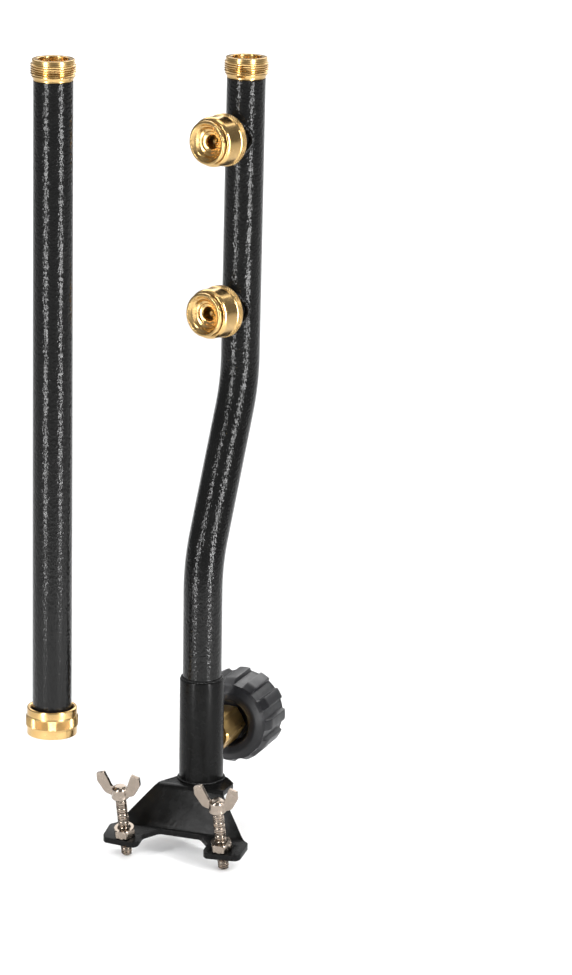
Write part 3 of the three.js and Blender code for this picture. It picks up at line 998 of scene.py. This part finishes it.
@dataclass
class SideOutlet:
    """A self-closing outlet welded to the post, with its knurled collar. Heights are from the
    post's axis."""

    prefix: str
    post_radius: float
    rim: float = 35.1
    knurl_radius: float = 15.15
    knurl_depth: float = 0.42
    knurl_low: float = 16.9
    knurl_high: float = 20.9
    band_radius: float = 14.3
    collar_low: float = 16.2
    columns: int = 70
    rows: int = 4

    def build(self, direction: Vector, along_tube: Vector) -> None:
        """Makes the nozzle, the collar and the weld.

        Args:
            direction: the way that the outlet points.
            along_tube: the post's direction beside it.
        """
        collar_axle = axle(f"{self.prefix}_outlet_collar", direction)
        place = collar_axle.shifted(-self.collar_low)
        nozzle = revolve(f"{self.prefix}_nozzle_turned", [
            (5.5, 11.5), (9, 11.5), (9, 16), (11, 16), (11, 32.6), (12.3, 32.6, 0.2),
            (12.7, 33.4, 0.4), (12.6, 34.5, 0.4), (11.9, self.rim, 0.35), (10.9, self.rim, 0.3),
            (9.7, 33.6, 0.4), (9.1, 33.3, 0.3), (7.75, 31.4, 0.3), (6.4, 30.9, 0.5),
            (6.0, 30.2, 0.3), (4.9, 29.9, 0.35), (4.1, 29.4, 0.3), (4.1, 22), (3.2, 22, 0.2),
            (3.2, 20), (5.5, 20),
        ], 128)
        settle(nozzle, BRASS, "root", [f"{self.prefix}_outlet_nozzle"], place)
        core = self.knurl_radius - self.knurl_depth
        collar = revolve(f"{self.prefix}_collar_turned", [
            (11.3, 16.2), (core - 0.7, 16.2, 0.3), (core, 16.9, 0.2), (core, 20.9, 0.2),
            (self.band_radius, 21.5, 0.3), (self.band_radius, 30.2, 0.7), (13.5, 31.6, 0.5),
            (12.9, 32, 0.2), (11.3, 32),
        ], 128)
        turned_nodes(collar, TREES.knurl, {
            "Radius": core * MM, "Low": self.knurl_low * MM,
            "Band": (self.knurl_high - self.knurl_low) * MM, "Columns": self.columns,
            "Rows": self.rows, "Depth": self.knurl_depth * MM, "Finish": FINISHES.of(BRASS),
        })
        settle(collar, BRASS, "root", [f"{self.prefix}_outlet_collar"], place)
        self.build_weld(place, along_tube)

    def build_weld(self, place: Matrix, along_tube: Vector) -> None:
        """Lays the bead where the outlet's neck meets the round tube.

        Args:
            place: the outlet's place, from the post's axis outwards.
            along_tube: the post's direction.
        """
        local = (place.to_3x3().inverted() @ along_tube).normalized()
        across = local.cross(UP).normalized()
        points = []
        for index in range(44):
            angle = TAU * index / 44
            reach = 10.2
            sideways = reach * math.sin(angle)
            out = math.sqrt(max(0.0, (self.post_radius + 0.9) ** 2 - sideways ** 2))
            points.append((local * reach * math.cos(angle) + across * sideways + UP * out) * MM)
        weld_bead(f"{self.prefix}_outlet_weld", "root", points, 1.6, place, 11)


@dataclass
class Inlet:
    """The hexagon nipple and the handwheel nut. Distances are from the post's axis, along +Y."""

    mouth: float = 69.0
    flats: float = 19.6
    near: float = 37.0
    body_radius: float = 23.7
    grip_radius: float = 25.7
    ribs: int = 12
    rib_width: float = 6.6
    socket: float = 16.7

    def place(self) -> Matrix:
        """From a space with +Z along the inlet to the row frame."""
        low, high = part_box("handwheel_nut")
        middle = (low + high) / 2
        start = Vector((middle.x, high.y - self.mouth * MM, middle.z))
        return Axle(start, Vector((0, 1, 0)), 0, 0).matrix

    def build_nipple(self) -> None:
        """Turns the nipple and mills its hexagon."""
        hexagon = hexagonal(self.flats)

        def milled(angle: float, radius: float, height: float) -> float:
            """The hexagon's flats, on its own stretch only."""
            return hexagon(angle, radius, height) if height < 42 else radius

        nipple = revolve("nipple_milled", [
            (2.5, 11), (6.5, 11), (6.5, 14.2), (9.7, 14.2), (11.2, 15.1), (11.2, 40.6), (9.7, 41.5),
            (7, 41.5, 0.4), (7, 51.5, 0.3), (11, 51.5, 0.4), (11, 54, 0.5), (7.6, 54, 0.4), (7.6, 57),
            (6.9, 57.2), (6.9, 58.8), (7.3, 59, 0.3), (5.4, 62.5, 0.3), (4.5, 62.5), (4.5, 44),
            (2.5, 44),
        ], 144, milled)
        settle(nipple, NIPPLE_BRASS, "root", ["inlet_nipple"], self.place())

    def build_wheel(self) -> None:
        """Moulds the ribbed nut and cuts the thread in its socket."""
        rib_step = TAU / self.ribs
        slope = 0.9

        def gripped(angle: float, radius: float, height: float) -> float:
            """Stands the ribs proud of the round body between its two ends."""
            if radius < self.body_radius - 3.2:
                return radius
            off = abs((angle + rib_step / 2) % rib_step - rib_step / 2) * self.body_radius
            rib = min(1.0, max(0.0, (self.rib_width / 2 + slope / 2 - off) / slope))
            start = min(1.0, max(0.0, (height - self.near - 2.6) / 6.0))
            stop = min(1.0, max(0.0, (self.mouth - 0.4 - height) / 1.4))
            full = rib * start * stop
            hollow = (1 - rib) * 0.5 * start * stop
            return radius + full * (self.grip_radius - self.body_radius) - hollow

        outline: list[tuple[float, ...]] = [
            (7.6, 44.2), (12.4, 44.2, 0.8), (14.0, self.near + 0.2, 0.9),
            (self.body_radius - 5.4, self.near, 0.9), (self.body_radius - 1.9, self.near + 2.6, 1.2),
        ]
        lift = self.near + 3.4
        while lift < self.mouth - 2.2:
            outline.append((self.body_radius - max(0.0, self.near + 9 - lift) * 0.12, lift))
            lift += 1.2
        outline += [
            (self.body_radius, self.mouth - 1.6), (self.body_radius - 0.2, self.mouth - 0.5),
            (self.body_radius - 0.9, self.mouth, 0.3), (self.socket + 0.5, self.mouth, 0.4),
            (self.socket, self.mouth - 1.2, 0.3), (self.socket, 49), (7.6, 49),
        ]
        wheel = revolve("handwheel_moulded", outline, 360, gripped)
        depth = 1.5
        add_thread(wheel, PLASTIC, self.socket + 0.62 * depth, 52, 66.5, 5.08, depth)
        settle(wheel, PLASTIC, "handwheel", ["handwheel_nut"], self.place())

    def build(self) -> None:
        """Makes the nipple and the nut."""
        self.build_nipple()
        self.build_wheel()


@dataclass
class FootBracket:
    """The folded plate under the sleeve. Millimetres from the post's axis and the flange's top."""

    plate: float = 3.0
    ear_tilt: float = math.radians(15)
    flange_front: float = -17.5
    web_foot: float = -31.0
    web_drop: float = 22.5
    rear: float = 11.0
    front: float = -52.0
    fold_radius: float = 2.2
    corner: float = 1.6
    screw_x: float = 29.7
    screw_y: float = -41.4
    hole: float = 3.5
    ear_plan: tuple[tuple[float, float], ...] = (
        (20.5, -18), (38, -30.5), (42.5, -33), (42, -44.5), (40, -46.5),
        (22, -47.8), (19.8, -45.5), (20, -38.5), (12.5, -31.5),
    )

    def ear_height(self, y: float) -> float:
        """The height of the ears' upper face at a distance in front of the post."""
        return -self.web_drop + (y - self.web_foot) * math.tan(self.ear_tilt)

    def fold(self) -> list[tuple[float, float]]:
        """The plate seen from the side, with round folds.

        Returns:
            (y, z) points, anticlockwise.
        """
        top = [
            (self.rear, 0.0), (self.flange_front, 0.0), (self.web_foot, -self.web_drop),
            (self.front, self.ear_height(self.front)),
        ]
        web_slope = math.atan2(self.web_drop, self.flange_front - self.web_foot)
        headings = [0.0, web_slope, self.ear_tilt]
        below: list[tuple[float, float]] = [(self.rear, -self.plate)]
        for index, (y, z) in enumerate(top[1:3], start=1):
            half = (headings[index] + headings[index - 1]) / 2
            reach = self.plate / math.cos((headings[index] - headings[index - 1]) / 2)
            below.append((y + reach * math.sin(half), z - reach * math.cos(half)))
        end_y, end_z = top[3]
        below.append((end_y, end_z - self.plate / math.cos(self.ear_tilt)))
        outer, inner = self.fold_radius + self.plate, self.fold_radius
        upper = [top[0], (*top[1], outer * 0.57), (*top[2], inner * 0.5), top[3]]
        lower = [below[0], (*below[1], inner * 0.57), (*below[2], outer * 0.5), below[3]]
        return rounded(upper + lower[::-1], 6)

    def build(self) -> None:
        """Folds the plate, trims it to its plan, drills it and rounds its edges."""
        plate = extruded("bracket_folded", self.fold(), -60, 60)
        turn = Matrix(((0, 0, 1, 0), (1, 0, 0, 0), (0, 1, 0, 0), (0, 0, 0, 1)))
        plate.data.transform(turn)
        right = [(8, self.rear - 1), (14, 6), (21, -2), *self.ear_plan]
        left = [(-8, self.rear - 1), (-13.5, -2), *[(-x, y) for x, y in self.ear_plan]]
        corners = [(x, y, self.corner) for x, y in left + right[::-1]]
        plan = extruded("bracket_plan", rounded(corners, 5), -50, 10)
        combined(plate, plan, "INTERSECT")
        for side in Side:
            combined(plate, self.drill(side), "DIFFERENCE")
        bevelled(plate, 0.45, 3)
        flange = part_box("foot_bracket")[1].z
        sleeve_low, sleeve_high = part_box("base_sleeve")
        middle = (sleeve_low + sleeve_high) / 2
        place = Matrix.Translation((middle.x, middle.y, flange))
        settle(plate, PLATE_PAINT, "root", ["foot_bracket"], place)

    def drill(self, side: Side) -> bpy.types.Object:
        """A drill square to an ear at its screw."""
        angles = [TAU * index / 40 for index in range(40)]
        points = [(self.hole * math.cos(angle), self.hole * math.sin(angle)) for angle in angles]
        tool = extruded(f"{side.name.lower()}_drill", points, -12, 8)
        square = Vector((0, -math.sin(self.ear_tilt), math.cos(self.ear_tilt)))
        spot = Vector((side.value * self.screw_x, self.screw_y, self.ear_height(self.screw_y))) * MM
        tool.data.transform(Axle(spot, square, 0, 0).matrix)
        return tool


@dataclass
class WingScrew:
    """A wing screw and its jam nut. Heights are above the ear's upper face."""

    side: Side
    tip: float = -12.6
    radius: float = 3.175
    top: float = 32.0
    hub_low: float = 25.9
    hub_radius: float = 4.5
    thickness: float = 2.2
    nut_flats: float = 11.1
    nut_height: float = 5.0

    @property
    def name(self) -> str:
        """The side in lower case, as in the CAD's names."""
        return self.side.name.lower()

    def build(self) -> None:
        """Makes the rod, the wings and the nut."""
        along = joint_direction(f"{self.name}_wing_turn")
        place = axle(f"{self.name}_screw_rod", along).shifted(-self.tip)
        self.build_rod(place)
        self.build_wings(place)
        self.build_nut(place)

    def build_rod(self, place: Matrix) -> None:
        """Turns the rod and cuts its thread."""
        core = self.radius - 0.35
        rod = revolve(f"{self.name}_rod_turned", [
            (0, self.tip), (core - 0.5, self.tip, 0.2), (core, self.tip + 0.8),
            (core, self.top - 0.6), (core - 0.5, self.top, 0.2), (0, self.top),
        ], 48)
        add_thread(rod, ZINC, self.radius, self.tip + 0.7, self.top - 1.2, 1.27, 0.5)
        settle(rod, ZINC, f"{self.name}_rod", [f"{self.name}_screw_rod"], place)

    def build_wings(self, place: Matrix) -> None:
        """Casts the hub and its two wings in one skin."""
        roof = self.top + 0.2
        hub = revolve(f"{self.name}_wings_cast", [
            (0, roof), (3.35, roof), (3.35, self.hub_low), (self.hub_radius + 0.7, self.hub_low, 0.3),
            (self.hub_radius + 0.1, self.hub_low + 2, 0.5), (self.hub_radius - 0.2, roof - 0.3, 0.8),
            (2.6, roof + 0.9, 0.8), (0, roof + 1.1),
        ], 64)
        corners = [
            (3.9, 0.4, 0.4), (8.9, 2.2, 1.6), (13.2, 9.6, 0.9), (13.1, 14.3, 0.5),
            (8.3, 15.9, 0.5), (6.1, 10.6, 1.2), (4.9, 7.2, 1.0), (3.9, 6.0, 0.4),
        ]
        wings = []
        for turn in (0.0, math.pi):
            wing = extruded("wing", rounded(corners, 6), -self.thickness / 2, self.thickness / 2)
            stand = Matrix.Rotation(turn, 4, "Z") @ Matrix.Translation((0, 0, self.hub_low * MM))
            wing.data.transform(stand @ Matrix.Rotation(math.pi / 2, 4, "X"))
            wings.append(wing)
        head = joined(f"{self.name}_wings_cast", [hub, *wings])
        cast_smooth(head, 0.24, 4)
        settle(head, ZINC, f"{self.name}_wing", [f"{self.name}_wing_head"], place)

    def build_nut(self, place: Matrix) -> None:
        """Makes the jam nut with chamfered corners."""
        half, low, high = self.nut_flats / 2, 0.3, 0.3 + self.nut_height
        nut = revolve(f"{self.name}_nut_milled", [
            (3.5, low + 0.5), (3.9, low), (half, low), (half + 0.75, low + 0.45),
            (half + 0.75, high - 0.45), (half, high), (3.9, high), (3.5, high - 0.5),
        ], 96, hexagonal(self.nut_flats))
        settle(nut, ZINC, f"{self.name}_nut", [f"{self.name}_jam_nut"], place)


@dataclass
class Extension:
    """The straight extension. Heights are above its coupling nut's lower face."""

    radius: float = 11.1
    wall: float = 1.6
    tube_low: float = 11.9
    knurl_radius: float = 14.85
    knurl_depth: float = 0.42
    band_radius: float = 14.15
    band: float = 4.8
    height: float = 16.0
    columns: int = 56
    rows: int = 6

    def build(self) -> None:
        """Makes the tube, the tail and the coupling nut."""
        place = axle("coupling_nut", UP).matrix
        tube_high = (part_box("extension_tube")[1].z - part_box("coupling_nut")[0].z) / MM
        bore = self.radius - self.wall
        tube = revolve("extension_tube_drawn", [
            (bore, self.tube_low), (self.radius, self.tube_low, 0.25), (self.radius, tube_high, 0.25),
            (bore, tube_high),
        ])
        settle(tube, PAINT, "extension", ["extension_tube"], place)
        self.build_tail(place)
        self.build_nut(place)

    def build_tail(self, place: Matrix) -> None:
        """Turns the tail that seals in a post's outlet."""
        tail = revolve("extension_tail_turned", [
            (1, 5), (7.4, 5, 0.2), (8.2, 5.8, 0.3), (8.2, 6.2), (6.9, 6.2), (6.9, 8.2), (8.2, 8.2),
            (8.2, 9.4), (12.3, 9.4, 0.3), (12.3, 11.6, 0.3), (9.2, 11.6), (9.2, 22, 0.4), (4, 22),
            (4, 6.5), (1, 6.5),
        ])
        settle(tail, BRASS, "extension", ["extension_tail"], place)

    def build_nut(self, place: Matrix) -> None:
        """Turns the coupling nut, knurls its middle and cuts its inner thread."""
        core = self.knurl_radius - self.knurl_depth
        low, high = self.band, self.height - self.band
        nut = revolve("coupling_turned", [
            (12.9, 0, 0.5), (self.band_radius, 0, 0.6), (self.band_radius, low - 0.3, 0.25),
            (core, low, 0.1), (core, high, 0.1), (self.band_radius, high + 0.3, 0.25),
            (self.band_radius, self.height, 0.9), (12.4, self.height, 0.5), (11.6, 14.8, 0.3),
            (11.6, 12, 0.2), (12.9, 12),
        ], 128)
        turned_nodes(nut, TREES.knurl, {
            "Radius": core * MM, "Low": low * MM, "Band": (high - low) * MM, "Columns": self.columns,
            "Rows": self.rows, "Depth": self.knurl_depth * MM, "Finish": FINISHES.of(BRASS),
        })
        depth = 0.6
        add_thread(nut, BRASS, 12.9 + 0.62 * depth, 0.9, 8.6, 1.27, depth)
        settle(nut, BRASS, "coupling", ["coupling_nut"], place)


@dataclass
class Coil:
    """A coil spring drawn at its pressed length, so the piece that presses on it has room. A gap
    as long as the travel shows at rest."""

    node: str
    body: str
    joint: str
    turns: int = 3
    wire_radius: float = 0.38
    travel: float = 2.0
    slack: float = 0.1
    steps: int = 24
    sides: int = 12

    def build(self) -> None:
        """Winds the wire on a helix and closes its two ends."""
        gap = axle(self.node, joint_direction(self.joint))
        low = self.travel + self.slack + self.wire_radius
        high = gap.length / MM - self.wire_radius
        reach = gap.radius / MM - self.wire_radius
        count = self.turns * self.steps
        points = []
        for index in range(count + 1):
            angle = TAU * index / self.steps
            height = low + (high - low) * index / count
            points.append(Vector((reach * math.cos(angle), reach * math.sin(angle), height)) * MM)
        wire = edge_path(f"{self.node}_wound", points)
        turned_nodes(wire, TREES.sweep, {
            "Radius": self.wire_radius * MM, "Sides": self.sides, "Finish": FINISHES.of(SPRING),
        })
        shell = bmesh.new()
        shell.from_mesh(wire.data)
        bmesh.ops.holes_fill(shell, edges=shell.edges)
        shell.to_mesh(wire.data)
        shell.free()
        settle(wire, SPRING, self.body, [self.node], gap.matrix)


@dataclass
class Innards:
    """The pieces inside, which keep their CAD meshes, and the springs."""

    finishes: dict[str, Finish] = field(default_factory=lambda: {
        "base_plug": PAINT, "thermal_bushing": PLASTIC, "nipple_seal": RUBBER,
        "extension_o_ring": RUBBER, "flow_limiter_poppet": BRASS, "flow_limiter_clip": SPRING,
    })
    outlets: tuple[str, ...] = ("top", "upper", "lower", "extension")

    def build(self) -> None:
        """Dresses the pieces."""
        for node, finish in self.finishes.items():
            dress_node(node, finish)
        for prefix in self.outlets:
            dress_node(f"{prefix}_valve_stem", NIPPLE_BRASS)
            dress_node(f"{prefix}_valve_seal", RUBBER)
            dress_node(f"{prefix}_spring_clip", SPRING)
            body = "extension" if prefix == "extension" else "root"
            Coil(f"{prefix}_valve_spring", body, f"{prefix}_valve_push").build()
        Coil("flow_limiter_spring", "root", "flow_limiter_shut", turns=5).build()


# ---- the studio ---------------------------------------------------------------------------------


@dataclass
class Studio:
    """The floor, the lights and the camera. Metres, in the row frame. The lights are hidden from
    the camera, since two of them stand close in front."""

    camera_place: tuple[float, float, float] = (0.915, -2.341, 0.820)
    yaw: float = math.radians(20.88)
    pitch: float = math.radians(13.4)
    roll: float = math.radians(0.82)
    lens: float = 165.8
    shift_y: float = -0.15
    clip_end: float = 60.0
    floor_half: float = 9.0
    floor_gap: float = 0.3 * MM
    floor_roughness: float = 0.85
    surroundings_colour: tuple[float, ...] = (0.95, 0.97, 1.0, 1)
    surroundings_strength: float = 0.22
    object_middle: tuple[float, float, float] = (0.0, -0.06, 0.2)
    strip_target: tuple[float, float, float] = (0.0, -0.06, 0.33)

    def build_camera(self) -> None:
        """Sets the camera."""
        data = bpy.data.cameras.new("camera")
        data.lens = self.lens
        data.shift_y = self.shift_y
        data.clip_end = self.clip_end
        camera = bpy.data.objects.new("camera", data)
        bpy.context.scene.collection.objects.link(camera)
        ahead = Vector((
            -math.sin(self.yaw) * math.cos(self.pitch), math.cos(self.yaw) * math.cos(self.pitch),
            -math.sin(self.pitch),
        ))
        right = Vector((math.cos(self.yaw), math.sin(self.yaw), 0))
        above = right.cross(ahead)
        turned_right = right * math.cos(self.roll) + above * math.sin(self.roll)
        turned_up = above * math.cos(self.roll) - right * math.sin(self.roll)
        turn = Matrix((turned_right, turned_up, -ahead)).transposed().to_4x4()
        camera.matrix_world = Matrix.Translation(self.camera_place) @ turn
        bpy.context.scene.camera = camera

    def build_floor(self) -> None:
        """Lays a wide pale floor just under the object."""
        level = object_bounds()[0].z - self.floor_gap
        half = self.floor_half
        mesh = bpy.data.meshes.new("floor")
        corners = [(-half, -half), (half, -half), (half, half), (-half, half)]
        mesh.from_pydata([(x, y, level) for x, y in corners], [], [(0, 1, 2, 3)])
        floor = mesh_object("floor", mesh)
        material = bpy.data.materials.new("pale_floor")
        material.use_nodes = True
        tree = Tree(material.node_tree)
        shader = material.node_tree.nodes["Principled BSDF"]
        shader.inputs["Roughness"].default_value = self.floor_roughness
        place = tree.add("ShaderNodeTexCoord").outputs["Object"]
        cloud = tree.add("ShaderNodeTexNoise", {"Vector": place, "Scale": 1.5, "Detail": 2.0})
        mix = tree.add("ShaderNodeMix", {
            "Factor": cloud.outputs[0], 6: (0.9, 0.9, 0.9, 1), 7: (0.93, 0.93, 0.93, 1),
        }, data_type="RGBA")
        tree.tree.links.new(mix.outputs[2], shader.inputs["Base Color"])
        mesh.materials.append(material)
        floor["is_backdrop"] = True

    def light(
        self, name: str, place: tuple[float, float, float], target: tuple[float, float, float],
        size: tuple[float, float], watts: float,
    ) -> None:
        """Hangs a soft rectangular light.

        Args:
            name: the light's name.
            place: its middle.
            target: the point that it faces.
            size: its width and height.
            watts: its power.
        """
        data = bpy.data.lights.new(name, "AREA")
        data.shape = "RECTANGLE"
        data.size, data.size_y = size
        data.energy = watts
        lamp = bpy.data.objects.new(name, data)
        lamp.visible_camera = False
        bpy.context.scene.collection.objects.link(lamp)
        facing = (Vector(target) - Vector(place)).to_track_quat("-Z", "Y").to_matrix().to_4x4()
        lamp.matrix_world = Matrix.Translation(place) @ facing

    def build_lights(self) -> None:
        """Sets the soft lights and the pale surroundings."""
        middle = self.object_middle
        self.light("left_strip", (-0.22, -0.60, 0.33), self.strip_target, (0.045, 0.86), 5.2)
        self.light("right_strip", (0.50, -0.33, 0.33), self.strip_target, (0.055, 0.86), 7.0)
        self.light("overhead", (0.0, 0.15, 2.4), middle, (0.9, 0.9), 8)
        self.light("back_card", (0.6, 4.0, 1.7), middle, (4.0, 1.8), 34)
        self.light("far_overhead", (-1.5, 5.0, 3.6), (-1.5, 5.0, 0.0), (7.0, 7.0), 425)
        world = bpy.data.worlds.new("studio")
        world.use_nodes = True
        surroundings = world.node_tree.nodes["Background"]
        surroundings.inputs["Color"].default_value = self.surroundings_colour
        surroundings.inputs["Strength"].default_value = self.surroundings_strength
        bpy.context.scene.world = world
        bpy.context.scene.view_settings.view_transform = "Standard"

    def build(self) -> None:
        """Makes the studio."""
        self.build_camera()
        self.build_floor()
        self.build_lights()


def main() -> None:
    """Builds the looks on the frame, piece by piece."""
    logging.basicConfig(level=logging.INFO, format="%(name)s: %(message)s")
    cad_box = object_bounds()
    post_direction = -joint_direction("top_valve_push")
    outlet_direction = -joint_direction("upper_valve_push")
    post = Post()
    post.build()
    ThreadedOutlet("top", "root").build(post_direction)
    ThreadedOutlet("extension", "extension").build(UP)
    for prefix in ("upper", "lower"):
        SideOutlet(prefix, post.radius).build(outlet_direction, post_direction)
    Inlet().build()
    FootBracket().build()
    for side in Side:
        WingScrew(side).build()
    Extension().build()
    Innards().build()
    Studio().build()
    looks_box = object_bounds()
    for label, box in (("CAD", cad_box), ("looks", looks_box)):
        LOG.info("%s box: %s mm", label, [[round(value / MM, 1) for value in corner] for corner in box])


if __name__ == "__main__":
    main()
